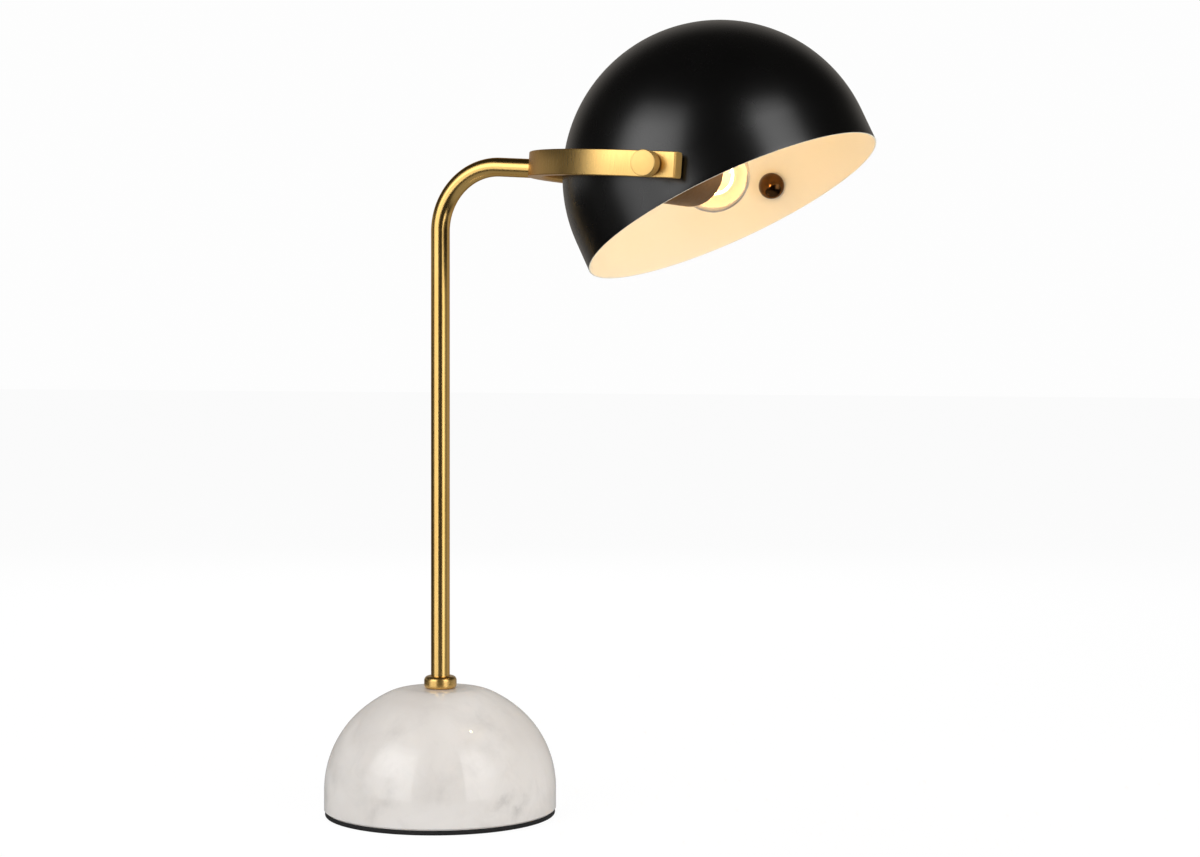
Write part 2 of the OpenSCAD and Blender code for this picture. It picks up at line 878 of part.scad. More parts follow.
module near_knob() { knob(-1); }
module near_knob_washer() { knob_washer(-1); }
module far_knob() { knob(1); }
module far_knob_washer() { knob_washer(1); }

base_marble();
base_pad();
clamp_plate();
base_rod();
lock_washer();
base_nut();
inlet_bush();
collar();
stem_tube();
yoke();
yoke_end_plates();
shade();
friction_washers();
near_pivot_tube();
far_pivot_stud();
seat_washers();
cap_nut();
socket_cup();
socket_nut();
holder_end();
contact_block();
screw_shell();
holder_sleeve();
centre_contact();
terminal_screws();
bulb_glass();
bulb_cap();
cap_insulator();
tip_contact();
bulb_mount();
support_wires();
filament();
near_knob();
near_knob_washer();
far_knob();
far_knob_washer();
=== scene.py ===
"""Dome shade desk lamp: the finished surfaces, the studio and the camera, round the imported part."""

import math

import bmesh
import bpy
from mathutils import Matrix, Vector


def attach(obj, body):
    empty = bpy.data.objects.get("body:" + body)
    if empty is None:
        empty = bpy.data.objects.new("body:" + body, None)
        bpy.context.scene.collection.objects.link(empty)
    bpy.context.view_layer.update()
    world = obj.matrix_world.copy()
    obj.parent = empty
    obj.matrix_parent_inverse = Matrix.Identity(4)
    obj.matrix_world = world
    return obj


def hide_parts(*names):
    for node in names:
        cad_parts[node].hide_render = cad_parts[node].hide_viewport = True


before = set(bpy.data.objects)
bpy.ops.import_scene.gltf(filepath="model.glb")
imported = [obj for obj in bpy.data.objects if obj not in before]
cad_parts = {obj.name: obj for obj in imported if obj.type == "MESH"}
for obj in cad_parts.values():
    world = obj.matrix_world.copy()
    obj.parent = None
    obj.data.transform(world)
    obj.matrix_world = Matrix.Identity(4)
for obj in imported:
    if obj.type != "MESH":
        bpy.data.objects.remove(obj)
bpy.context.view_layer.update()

MM = 0.001
# Turn of the camera round the lamp, in degrees from the arm's side view
CAMERA_TURN = 24.713

# Sizes, in millimetres, with the values of the part's source and, where it names them, its names

PAD_H, PAD_INSET, BASE_R, FOOT_CHAMFER = 3, 0.6, 74, 1
SEAT_Z, CROWN_SPARE, SHOULDER_OFF, SEAT_CUT, SEAT_ROUND = 80, 4.5, 9, 4.7, 32
RECESS_R, RECESS_H, ROD_HOLE_R = 46, 24, 5.3
INLET_RISE, INLET_R, INLET_OUTER_R, INLET_FLANGE_R, INLET_FLANGE_H = 10, 3.6, 5.2, 7, 1.5
BUSH_START, GAP = 44, 0.3
STEM_R, ARM_Z, ARM_DROOP, BEND_R = 6, 415, 4, 40
COLLAR_R, COLLAR_H, COLLAR_TOP_ROUND, COLLAR_FOOT_ROUND = 10.4, 8, 3, 2
PIVOT_X, BAR_H, BAR_T, BAR_ROUND, BAR_WALL = 192, 15, 9, 2, 1.5
LEG_BACK, LEG_FRONT, END_PLATE_T = 11, 16.5, 1.2
KNOB_R, KNOB_H, KNOB_FACE_T, KNOB_CHAMFER, KNOB_WASHER_T = 7.5, 7.5, 2, 0.4, 1.5
PIVOT_HOLE_R = 5.06
FRICTION_T = 1.5
CAP_NUT_R, CAP_NUT_RIM, CAP_NUT_DOME = 8.3, 2.5, 5.5
SEAT_WASHER_T, SEAT_WASHER_R, SEAT_PLAY = 1.3, 7.6, 0.02
SHADE_R, SHADE_T, SKIRT_H, PIVOT_RISE, SHADE_TILT = 95, 1, 20.5, 1, 26
CUP_R, CUP_L, CUP_WALL, CUP_ROUND = 21, 48, 0.8, 6
GLOBE_R, GLASS_WALL, NECK_R, NECK_SWEEP_R = 22.5, 0.8, 12.2, 12
LAMP_CAP_L, NECK_STRAIGHT = 26.5, 1.5
TIP_Y = 30.7
FILAMENT_R, FILAMENT_RISE, SUPPORT_ANGLES = 10.5, 6, (-75, 15, 105, 195)

# What follows from them

YOKE_CX = PIVOT_X - LEG_BACK
YOKE_INNER_W = SHADE_R + FRICTION_T
YOKE_HALF_W = YOKE_INNER_W + BAR_T
LEG_END = LEG_BACK + LEG_FRONT
SEAT_Y = (math.sqrt((SHADE_R - SHADE_T) ** 2 - (SEAT_WASHER_R + PIVOT_RISE) ** 2)
          - SEAT_PLAY - SEAT_WASHER_T)
GLOBE_Y = (LAMP_CAP_L + NECK_STRAIGHT
           + math.sqrt((GLOBE_R + NECK_SWEEP_R) ** 2 - (NECK_R + NECK_SWEEP_R) ** 2))


def turn(degrees, axis):
    return Matrix.Rotation(math.radians(degrees), 4, axis)


def shift(x, y, z):
    return Matrix.Translation(Vector((x, y, z)) * MM)


# Frames of the pieces: the stand, the cord inlet with +Z out of the stone, the arm, the shade with
# its mouth towards -Z, the pivot axis with +Z outwards on either side, and the lampholder and the
# bulb with +Z towards the glass
STAND_FRAME = Matrix.Identity(4)
INLET_FRAME = shift(0, 0, PAD_H + INLET_RISE) @ turn(-90, "Y")
ARM_FRAME = shift(0, 0, ARM_Z) @ turn(ARM_DROOP, "Y")
SHADE_FRAME = ARM_FRAME @ shift(PIVOT_X, 0, 0) @ turn(-ARM_DROOP - SHADE_TILT, "Y")
PIVOT_FRAME = {side: SHADE_FRAME @ turn(-90 * side, "X") for side in (-1, 1)}
HOLDER_FRAME = PIVOT_FRAME[1] @ shift(0, 0, -SEAT_Y)
BULB_FRAME = HOLDER_FRAME @ shift(0, 0, TIP_Y)


# Outlines

# Half angle of a corner, in degrees, from which it counts as straight
STRAIGHT = 89
# Radius, in millimetres, under which a point lies on the axis
ON_AXIS = 1e-4


def arc(centre, radius, start, end, steps):
    """Points on an arc, from the start angle to the end angle in degrees."""
    points = []
    for i in range(steps + 1):
        a = math.radians(start + (end - start) * i / steps)
        points.append((centre[0] + radius * math.cos(a), centre[1] + radius * math.sin(a)))
    return points


def rounded(corners, steps=5):
    """A closed outline from corners (x, y, radius), each rounded by an arc that touches both its
    sides."""
    points = []
    for i, (x, y, radius) in enumerate(corners):
        here = Vector((x, y))
        back = (Vector(corners[i - 1][:2]) - here).normalized()
        on = (Vector(corners[(i + 1) % len(corners)][:2]) - here).normalized()
        half = back.angle(on) / 2
        if radius == 0 or half > math.radians(STRAIGHT):
            points.append((x, y))
            continue
        centre = here + (back + on).normalized() * (radius / math.sin(half))
        first = here + back * (radius / math.tan(half)) - centre
        last = here + on * (radius / math.tan(half)) - centre
        sweep = first.angle_signed(last)
        for k in range(steps + 1):
            a = -sweep * k / steps
            cos, sin = math.cos(a), math.sin(a)
            points.append((centre.x + first.x * cos - first.y * sin,
                           centre.y + first.x * sin + first.y * cos))
    return points


# Meshes

def finish_mesh(name, mesh, matrix, body, materials, sharp=30, baked=False):
    """Makes a piece of the mesh, smooth but for edges sharper than the angle, on its body. Baked,
    its place is in its mesh, so that its box isn't a tilted one."""
    mesh.shade_smooth()
    mesh.set_sharp_from_angle(angle=math.radians(sharp))
    piece = bpy.data.objects.new(name, mesh)
    bpy.context.scene.collection.objects.link(piece)
    if baked:
        mesh.transform(matrix)
    else:
        piece.matrix_world = matrix
    for m in materials:
        mesh.materials.append(m)
    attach(piece, body)
    return piece


def lathe(name, outline, matrix, body, materials, closed=True, segments=160, index=None, sharp=30,
          baked=False):
    """Turns an outline of (radius, height) points round the frame's Z axis, closed from its last
    point to its first or not. index gives the material of the band that follows each point."""
    bm = bmesh.new()
    rings = []
    for r, z in outline:
        if r < ON_AXIS:
            rings.append([bm.verts.new((0, 0, z * MM))] * segments)
            continue
        ring = []
        for i in range(segments):
            a = 2 * math.pi * i / segments
            ring.append(bm.verts.new((r * math.cos(a) * MM, r * math.sin(a) * MM, z * MM)))
        rings.append(ring)
    bands = len(rings) if closed else len(rings) - 1
    for k in range(bands):
        low, high = rings[k], rings[(k + 1) % len(rings)]
        for i in range(segments):
            j = (i + 1) % segments
            corners = dict.fromkeys([low[i], low[j], high[j], high[i]])
            if len(corners) > 2:
                face = bm.faces.new(corners)
                face.material_index = index[k] if index else 0
    bmesh.ops.recalc_face_normals(bm, faces=bm.faces)
    mesh = bpy.data.meshes.new(name)
    bm.to_mesh(mesh)
    bm.free()
    return finish_mesh(name, mesh, matrix, body, materials, sharp, baked)


def sweep(name, section, stations, matrix, body, materials):
    """Carries a closed section, or one for each station, along stations (origin, axis of the
    section's x, axis of its y), caps both ends and lays a UV map in metres: along the stations, and
    round the section."""
    bm = bmesh.new()
    uv = bm.loops.layers.uv.new("run")
    loops, run, runs = [], 0.0, []
    sections = section if isinstance(section[0], list) else [section] * len(stations)
    section = sections[0]
    for k, (origin, x_axis, y_axis) in enumerate(stations):
        loops.append([bm.verts.new((origin + x_axis * x + y_axis * y) * MM)
                      for x, y in sections[k]])
        if k:
            run += (origin - stations[k - 1][0]).length
        runs.append(run)
    round_it = [0.0]
    for i in range(len(section)):
        step = Vector(section[(i + 1) % len(section)]) - Vector(section[i])
        round_it.append(round_it[-1] + step.length)
    for k in range(len(loops) - 1):
        for i in range(len(section)):
            j = (i + 1) % len(section)
            face = bm.faces.new([loops[k][i], loops[k][j], loops[k + 1][j], loops[k + 1][i]])
            places = [(k, i), (k, i + 1), (k + 1, i + 1), (k + 1, i)]
            for loop, (a, b) in zip(face.loops, places):
                loop[uv].uv = (runs[a] * MM, round_it[b] * MM)
    for end in (loops[0], loops[-1]):
        bm.faces.new(end)
    bmesh.ops.recalc_face_normals(bm, faces=bm.faces)
    mesh = bpy.data.meshes.new(name)
    bm.to_mesh(mesh)
    bm.free()
    return finish_mesh(name, mesh, matrix, body, materials)


# Materials

RANGE_SOCKETS = ("From Min", "From Max", "To Min", "To Max")


class Finish:
    """A material on one Principled shader, with short calls for the textures that feed it."""

    def __init__(self, name, colour, roughness, coordinates="Object", **sockets):
        self.material = bpy.data.materials.new(name)
        self.material.use_nodes = True
        self.nodes = self.material.node_tree.nodes
        self.links = self.material.node_tree.links
        self.shader = self.nodes["Principled BSDF"]
        self.set("Base Color", (*colour, 1))
        self.set("Roughness", roughness)
        for key, value in sockets.items():
            self.set(key.replace("_", " "), value)
        self.place = self.nodes.new("ShaderNodeTexCoord").outputs[coordinates]

    def set(self, socket, value):
        self.shader.inputs[socket].default_value = value

    def join(self, output, socket):
        self.links.new(output, self.shader.inputs[socket])

    def stretch(self, scale):
        mapping = self.nodes.new("ShaderNodeMapping")
        mapping.inputs["Scale"].default_value = scale
        self.links.new(self.place, mapping.inputs["Vector"])
        return mapping.outputs["Vector"]

    def noise(self, scale, detail=3, roughness=0.55, stretch=(1, 1, 1), distortion=0):
        """Noise with `scale` waves to the metre, squeezed along each axis by `stretch`."""
        node = self.nodes.new("ShaderNodeTexNoise")
        node.inputs["Scale"].default_value = scale
        node.inputs["Detail"].default_value = detail
        node.inputs["Roughness"].default_value = roughness
        node.inputs["Distortion"].default_value = distortion
        self.links.new(self.stretch(stretch), node.inputs["Vector"])
        return node.outputs["Fac"]

    def rings(self, scale):
        """Turning marks round the object's Z axis, `scale` of them to the metre out and along."""
        flat = self.nodes.new("ShaderNodeVectorMath")
        flat.operation = "MULTIPLY"
        flat.inputs[1].default_value = (1, 1, 0)
        self.links.new(self.place, flat.inputs[0])
        radius = self.nodes.new("ShaderNodeVectorMath")
        radius.operation = "LENGTH"
        self.links.new(flat.outputs["Vector"], radius.inputs[0])
        parts = self.nodes.new("ShaderNodeSeparateXYZ")
        self.links.new(self.place, parts.inputs[0])
        spot = self.nodes.new("ShaderNodeCombineXYZ")
        self.links.new(radius.outputs["Value"], spot.inputs["X"])
        self.links.new(parts.outputs["Z"], spot.inputs["Z"])
        node = self.nodes.new("ShaderNodeTexNoise")
        node.inputs["Scale"].default_value = scale
        node.inputs["Detail"].default_value = 2
        self.links.new(spot.outputs[0], node.inputs["Vector"])
        return node.outputs["Fac"]

    def between(self, value, low, high, start=0.3, end=0.7):
        """A number from low to high, as the value goes from start to end."""
        node = self.nodes.new("ShaderNodeMapRange")
        for socket, number in zip(RANGE_SOCKETS, (start, end, low, high)):
            node.inputs[socket].default_value = number
        self.links.new(value, node.inputs["Value"])
        return node.outputs["Result"]

    def maths(self, operation, a, b):
        node = self.nodes.new("ShaderNodeMath")
        node.operation = operation
        self.links.new(a, node.inputs[0])
        self.links.new(b, node.inputs[1])
        return node.outputs[0]

    def colours(self, value, *stops):
        """A colour from stops (place, (r, g, b))."""
        node = self.nodes.new("ShaderNodeValToRGB")
        ramp = node.color_ramp.elements
        for i, (place, colour) in enumerate(stops):
            stop = ramp[i] if i < len(ramp) else ramp.new(place)
            stop.position = place
            stop.color = (*colour, 1)
        self.links.new(value, node.inputs["Fac"])
        return node.outputs["Color"]

    def mixed(self, share, output, plain_colour):
        """The output's colour, with its share of a plain colour."""
        node = self.nodes.new("ShaderNodeMix")
        node.data_type = "RGBA"
        self.links.new(share, node.inputs["Factor"])
        self.links.new(output, node.inputs[6])
        node.inputs[7].default_value = (*plain_colour, 1)
        return node.outputs[2]

    def bump(self, height, depth, strength):
        """Relief of the given depth in metres."""
        node = self.nodes.new("ShaderNodeBump")
        node.inputs["Strength"].default_value = strength
        node.inputs["Distance"].default_value = depth
        self.links.new(height, node.inputs["Height"])
        return node.outputs["Normal"]


BRASS = (0.80, 0.52, 0.17)
BRASS_DEEP = (0.74, 0.455, 0.125)
# Tint of its reflections where they graze it
BRASS_EDGE = (1.0, 0.70, 0.35, 1)


def satin_brass():
    """Lacquered tube, polished along its length."""
    f = Finish("satin_brass", BRASS, 0.2, "UV", Metallic=1.0, Specular_Tint=BRASS_EDGE,
               Coat_Weight=0.3, Coat_Roughness=0.12)
    grain = f.noise(900, detail=2, stretch=(0.01, 1, 1))
    clouds = f.noise(14, detail=2)
    f.join(f.colours(clouds, (0.35, BRASS), (0.75, BRASS_DEEP)), "Base Color")
    f.join(f.between(grain, 0.21, 0.27), "Roughness")
    f.join(f.bump(grain, 0.000002, 0.1), "Normal")
    return f.material


def brushed_brass():
    """Yoke bar: short brush strokes up and down its faces."""
    f = Finish("brushed_brass", BRASS, 0.3, "UV", Metallic=1.0, Specular_Tint=BRASS_EDGE,
               Coat_Weight=0.7, Coat_Roughness=0.3)
    strokes = f.noise(2600, detail=5, roughness=0.65, stretch=(1, 0.03, 1))
    clouds = f.colours(f.noise(22, detail=3), (0.3, BRASS), (0.8, BRASS_DEEP))
    f.join(f.mixed(f.between(strokes, 0.0, 0.5), clouds, BRASS_DEEP), "Base Color")
    f.join(f.between(strokes, 0.24, 0.36), "Roughness")
    f.join(f.bump(strokes, 0.00001, 0.35), "Normal")
    return f.material


def turned_brass(name, roughness, depth):
    """Turned brass: fine marks round the axis."""
    f = Finish(name, BRASS, roughness, Metallic=1.0, Coat_Weight=0.6, Coat_Roughness=0.2)
    marks = f.rings(2200)
    clouds = f.noise(60, detail=2)
    f.join(f.colours(clouds, (0.3, BRASS), (0.8, BRASS_DEEP)), "Base Color")
    f.join(f.between(marks, roughness * 0.85, roughness * 1.15), "Roughness")
    f.join(f.bump(marks, depth, 0.3), "Normal")
    return f.material


def black_paint():
    """Satin black stove enamel on the spun dome, with a faint orange peel."""
    f = Finish("black_paint", (0.002, 0.002, 0.002), 0.27, Specular_IOR_Level=0.5, IOR=1.6)
    peel = f.noise(1500, detail=2)
    cloud = f.noise(28, detail=3)
    f.join(f.colours(cloud, (0.3, (0.0012, 0.0012, 0.0012)), (0.8, (0.0020, 0.0019, 0.0018))),
           "Base Color")
    f.join(f.between(cloud, 0.26, 0.28), "Roughness")
    f.join(f.bump(peel, 0.00002, 0.15), "Normal")
    return f.material


def cream_paint():
    """Warm white reflector paint inside the dome."""
    f = Finish("cream_paint", (0.86, 0.79, 0.64), 0.5)
    peel = f.noise(1100, detail=2)
    cloud = f.noise(20, detail=3)
    f.join(f.colours(cloud, (0.3, (0.87, 0.80, 0.65)), (0.8, (0.84, 0.77, 0.61))), "Base Color")
    f.join(f.between(peel, 0.45, 0.58), "Roughness")
    f.join(f.bump(peel, 0.00003, 0.3), "Normal")
    return f.material


# Smoky wisps in the stone: bearing round it in degrees to the right of the camera, height, half
# length and half width in millimetres, lean from the vertical in degrees, and strength
WISPS = (
    (35, 13, 9, 5, 70, 0.50), (47, 10, 10, 3.5, 50, 0.48), (-24, 18, 20, 6, 38, 0.30),
    (2, 24, 14, 8, 60, 0.20), (-28, 55, 18, 8, 55, 0.20), (38, 58, 15, 8, 140, 0.20),
    (24, 42, 20, 10, 75, 0.20), (-62, 30, 18, 7, 110, 0.20), (-75, 12, 12, 7, 60, 0.30),
    (95, 34, 22, 7, 35, 0.35), (120, 18, 14, 5, 65, 0.5), (150, 44, 20, 7, 120, 0.35),
    (178, 24, 24, 6, 48, 0.45), (-150, 50, 16, 8, 70, 0.30), (-125, 20, 18, 6, 130, 0.45),
    (-100, 46, 14, 7, 40, 0.25),
)
# Half depth of a wisp in the stone, the range over which its edges wander, and the height up to
# which the side that it lies on is taken as upright, in millimetres
WISP_DEPTH, WISP_WANDER, UPRIGHT_H = 20, 34, 8
# Where a wisp has faded out, in half lengths
WISP_REACH = 1.25


def marble():
    """Polished off-white marble: soft grey clouds, faint flecks, and smoky wisps that fade out in
    the stone."""
    f = Finish("marble", (0.84, 0.82, 0.79), 0.05, Specular_IOR_Level=0.5,
               Subsurface_Weight=0.15, Subsurface_Radius=(0.006, 0.005, 0.004),
               Subsurface_Scale=1.0)
    clouds = f.noise(11, detail=5, roughness=0.5, stretch=(1, 1, 1.5), distortion=0.5)
    base = f.colours(clouds, (0.30, (0.71, 0.67, 0.635)), (0.50, (0.79, 0.755, 0.72)),
                     (0.70, (0.84, 0.81, 0.78)))
    flecks = f.noise(42, detail=6, roughness=0.65, stretch=(1, 1.4, 0.8), distortion=0.6)
    base = f.mixed(f.between(flecks, 0.0, 0.22, 0.5, 0.75), base, (0.50, 0.48, 0.46))
    # The wisps' edges wander
    wander = f.nodes.new("ShaderNodeTexNoise")
    wander.inputs["Scale"].default_value = 48
    wander.inputs["Detail"].default_value = 6
    wander.inputs["Roughness"].default_value = 0.62
    f.links.new(f.place, wander.inputs["Vector"])
    moved = f.nodes.new("ShaderNodeVectorMath")
    moved.operation = "MULTIPLY_ADD"
    moved.inputs[1].default_value = (WISP_WANDER * MM,) * 3
    f.links.new(wander.outputs["Color"], moved.inputs[0])
    f.links.new(f.place, moved.inputs[2])
    breaks = f.between(f.noise(120, detail=5, roughness=0.65), 0.25, 1.0, 0.35, 0.62)
    # The middle of the wander, which the wisps' places make up for
    drift = Vector((WISP_WANDER / 2,) * 3)
    smoke = None
    for bearing, height, length, width, lean, strength in WISPS:
        angle = math.radians(CAMERA_TURN + bearing)
        out = math.sqrt(BASE_R ** 2 - max(height - UPRIGHT_H, 0) ** 2)
        place = Vector((math.sin(angle), -math.cos(angle), 0)) * out
        spot = wisp_frame(place + Vector((0, 0, height + PAD_H)), angle, lean)
        near = f.nodes.new("ShaderNodeMapping")
        near.vector_type = "TEXTURE"
        near.inputs["Location"].default_value = (spot.to_translation() + drift) * MM
        near.inputs["Rotation"].default_value = spot.to_euler()
        near.inputs["Scale"].default_value = Vector((length, width, WISP_DEPTH)) * MM
        f.links.new(moved.outputs["Vector"], near.inputs["Vector"])
        away = f.nodes.new("ShaderNodeVectorMath")
        away.operation = "LENGTH"
        f.links.new(near.outputs["Vector"], away.inputs[0])
        wisp = f.between(away.outputs["Value"], strength, 0.0, 0.0, WISP_REACH)
        smoke = f.maths("MAXIMUM", smoke, wisp) if smoke else wisp
    base = f.mixed(f.maths("MULTIPLY", smoke, breaks), base, (0.40, 0.375, 0.35))
    f.join(base, "Base Color")
    f.join(f.between(clouds, 0.02, 0.04), "Roughness")
    return f.material


def wisp_frame(place, angle, lean):
    """Frame at a place on the stone's side: x along the wisp, z out of the stone."""
    return (Matrix.Translation(place) @ Matrix.Rotation(angle, 4, "Z")
            @ turn(90, "X") @ turn(90 - lean, "Z"))


def plain(name, colour, other, roughness, scale, depth, **sockets):
    """A moulded, cast or plated finish: two near colours in fine clouds, with a grained relief."""
    f = Finish(name, colour, roughness, **sockets)
    grain = f.noise(scale, detail=3)
    f.join(f.colours(f.noise(scale / 12, detail=3), (0.3, colour), (0.75, other)), "Base Color")
    f.join(f.between(grain, roughness * 0.85, min(roughness * 1.2, 1)), "Roughness")
    f.join(f.bump(grain, depth, 0.5), "Normal")
    return f.material


def clear_glass(name, tint):
    """Blown glass: a slow ripple in its thickness, and a painted warm glow at its edges."""
    f = Finish(name, tint, 0.0, Transmission_Weight=1.0, IOR=1.46)
    edge = f.nodes.new("ShaderNodeLayerWeight")
    # Towards the edge the colour turns orange: painted glow of the bulb's warm light
    f.join(f.colours(edge.outputs["Facing"], (0.6, tint), (0.97, (0.90, 0.66, 0.42))), "Base Color")
    f.join(f.bump(f.noise(70, detail=1), 0.00012, 0.2), "Normal")
    return f.material


def glowing(name, colour, strength):
    """The lit filament, a little uneven along its coil."""
    f = Finish(name, (0.9, 0.6, 0.3), 0.5, Emission_Color=(*colour, 1))
    f.join(f.between(f.noise(400, detail=2), strength * 0.75, strength * 1.25), "Emission Strength")
    return f.material


MATERIALS = {
    "satin_brass": satin_brass(),
    "brushed_brass": brushed_brass(),
    "polished_brass": turned_brass("polished_brass", 0.3, 0.000003),
    "turned_brass": turned_brass("turned_brass", 0.38, 0.000006),
    # Rough filed brass, painted lighter than the other brass as a highlight on the end plates and the
    # knobs' sides
    "lit_filed_brass": plain("lit_filed_brass", (0.96, 0.66, 0.24), (0.90, 0.60, 0.20),
                         0.7, 1500, 0.00001, Metallic=1.0),
    "black_paint": black_paint(),
    "cream_paint": cream_paint(),
    "marble": marble(),
    "foam": plain("foam_rubber", (0.007, 0.007, 0.007), (0.011, 0.010, 0.010), 0.75, 900, 0.0002),
    "bronze": plain("satin_bronze", (0.50, 0.26, 0.095), (0.40, 0.205, 0.07),
                    0.44, 500, 0.00001, Metallic=1.0),
    "dark_bronze": plain("dark_bronze", (0.105, 0.047, 0.015), (0.08, 0.036, 0.012),
                         0.16, 500, 0.000005, Metallic=1.0),
    "zinc": plain("zinc_plate", (0.56, 0.57, 0.58), (0.46, 0.47, 0.49),
                  0.3, 500, 0.00002, Metallic=1.0),
    "yellow_zinc": plain("yellow_zinc", (0.62, 0.50, 0.25), (0.50, 0.42, 0.24),
                         0.3, 500, 0.00002, Metallic=1.0),
    "rubber": plain("washer_rubber", (0.018, 0.018, 0.018), (0.026, 0.025, 0.024),
                    0.6, 700, 0.00005),
    "fibre": plain("red_fibre", (0.045, 0.030, 0.022), (0.030, 0.020, 0.015), 0.7, 900, 0.00006),
    "phenolic": plain("phenolic", (0.014, 0.012, 0.011), (0.020, 0.018, 0.016), 0.25, 300, 0.00002),
    "porcelain": plain("porcelain", (0.80, 0.77, 0.70), (0.74, 0.70, 0.63), 0.35, 200, 0.00003),
    "contact_brass": plain("contact_brass", (0.78, 0.56, 0.22), (0.68, 0.47, 0.17),
                           0.22, 500, 0.00001, Metallic=1.0),
    "nickel": plain("nickel_plate", (0.62, 0.60, 0.57), (0.54, 0.52, 0.50),
                    0.25, 500, 0.00001, Metallic=1.0),
    "black_glass": plain("black_glass", (0.008, 0.008, 0.010), (0.012, 0.012, 0.014),
                         0.12, 200, 0.00001),
    "glass": clear_glass("bulb_glass", (0.95, 0.88, 0.78)),
    "filament": glowing("lit_filament", (1.0, 0.72, 0.36), 30.0),
}


# Base

def marble_outline():
    crown_r, shoulder_r = BASE_R + CROWN_SPARE, BASE_R - SHOULDER_OFF
    crown_cz = SEAT_Z + SEAT_CUT - crown_r
    shoulder_cz = crown_cz + math.sqrt((crown_r - shoulder_r) ** 2 - SHOULDER_OFF ** 2)
    touch = math.degrees(math.atan2(shoulder_cz - crown_cz, SHOULDER_OFF))
    seat_round_z = SEAT_Z - SEAT_ROUND
    seat_r = math.sqrt((crown_r - SEAT_ROUND) ** 2 - (seat_round_z - crown_cz) ** 2)
    seat_touch = math.degrees(math.atan2(seat_round_z - crown_cz, seat_r))
    recess_z = PAD_H + RECESS_H
    return (
        [(RECESS_R, PAD_H), (BASE_R - FOOT_CHAMFER, PAD_H), (BASE_R, PAD_H + FOOT_CHAMFER)]
        + arc((SHOULDER_OFF, shoulder_cz), shoulder_r, 0, touch, 40)
        + arc((0, crown_cz), crown_r, touch, seat_touch, 24)[1:]
        + arc((seat_r, seat_round_z), SEAT_ROUND, seat_touch, 90, 24)[1:]
        + [(ROD_HOLE_R, SEAT_Z), (ROD_HOLE_R, recess_z), (RECESS_R, recess_z)]
    )


# Width, in metres, under which a face that a cut leaves is closed up
SLIVER = 0.00002
# Sides of a drilled hole, and how far, in millimetres, the drill starts outside the surface
DRILL_SIDES, DRILL_OUT = 96, 1
# Angle, in degrees, from which the stone's edges stay sharp
STONE_SHARP = 25


def drill(piece, matrix, radius, depth):
    """Cuts a round hole of the depth along the frame's Z axis, and keeps the rest of the surface
    smooth."""
    bpy.ops.mesh.primitive_cylinder_add(vertices=DRILL_SIDES, radius=radius * MM, depth=depth * MM)
    tool = bpy.context.object
    tool.matrix_world = matrix @ shift(0, 0, depth / 2)
    cut = piece.modifiers.new("hole", "BOOLEAN")
    cut.operation = "DIFFERENCE"
    cut.object = tool
    bpy.context.view_layer.update()
    graph = bpy.context.evaluated_depsgraph_get()
    shaped = bpy.data.meshes.new_from_object(piece.evaluated_get(graph))
    piece.modifiers.remove(cut)
    bm = bmesh.new()
    bm.from_mesh(shaped)
    bmesh.ops.remove_doubles(bm, verts=bm.verts, dist=SLIVER)
    bmesh.ops.dissolve_degenerate(bm, dist=SLIVER, edges=bm.edges)
    bmesh.ops.triangulate(bm, faces=[face for face in bm.faces if len(face.verts) > 4])
    bm.to_mesh(shaped)
    bm.free()
    piece.data = shaped
    shaped.shade_smooth()
    shaped.set_sharp_from_angle(angle=math.radians(STONE_SHARP))
    bpy.data.objects.remove(tool)


# Rounded edges of the pad, and of the cord bush where it is hidden and where it shows, in
# millimetres
PAD_FOOT_ROUND, PAD_TOP_ROUND, BUSH_EDGE, BUSH_RIM = 0.9, 0.7, 0.2, 0.6


def make_base():
    stone = lathe("marble_foot", marble_outline(), STAND_FRAME, "stand", [MATERIALS["marble"]],
                  segments=240, sharp=STONE_SHARP)
    flat = BASE_R - INLET_FLANGE_H
    for radius, depth in ((INLET_OUTER_R, BASE_R), (INLET_FLANGE_R + GAP, INLET_FLANGE_H)):
        drill(stone, INLET_FRAME @ shift(0, 0, BASE_R - depth), radius, depth + DRILL_OUT)
    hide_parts("base_marble")

    outline = rounded([(INLET_OUTER_R, BUSH_START, BUSH_EDGE), (INLET_OUTER_R, flat, 0),
                       (INLET_FLANGE_R, flat, BUSH_EDGE), (INLET_FLANGE_R, BASE_R, BUSH_RIM),
                       (INLET_R, BASE_R, BUSH_RIM), (INLET_R, BUSH_START, BUSH_EDGE)])
    bush = lathe("cord_bush", outline, INLET_FRAME, "stand", [MATERIALS["rubber"]], segments=64)
    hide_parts("inlet_bush")

    edge = BASE_R - PAD_INSET
    outline = rounded([(0, 0, 0), (edge, 0, PAD_FOOT_ROUND), (edge, PAD_H, PAD_TOP_ROUND),
                       (0, PAD_H, 0)])
    pad = lathe("foot_pad", outline, STAND_FRAME, "stand", [MATERIALS["foam"]], closed=False,
                segments=240)
    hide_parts("base_pad")


# Stem

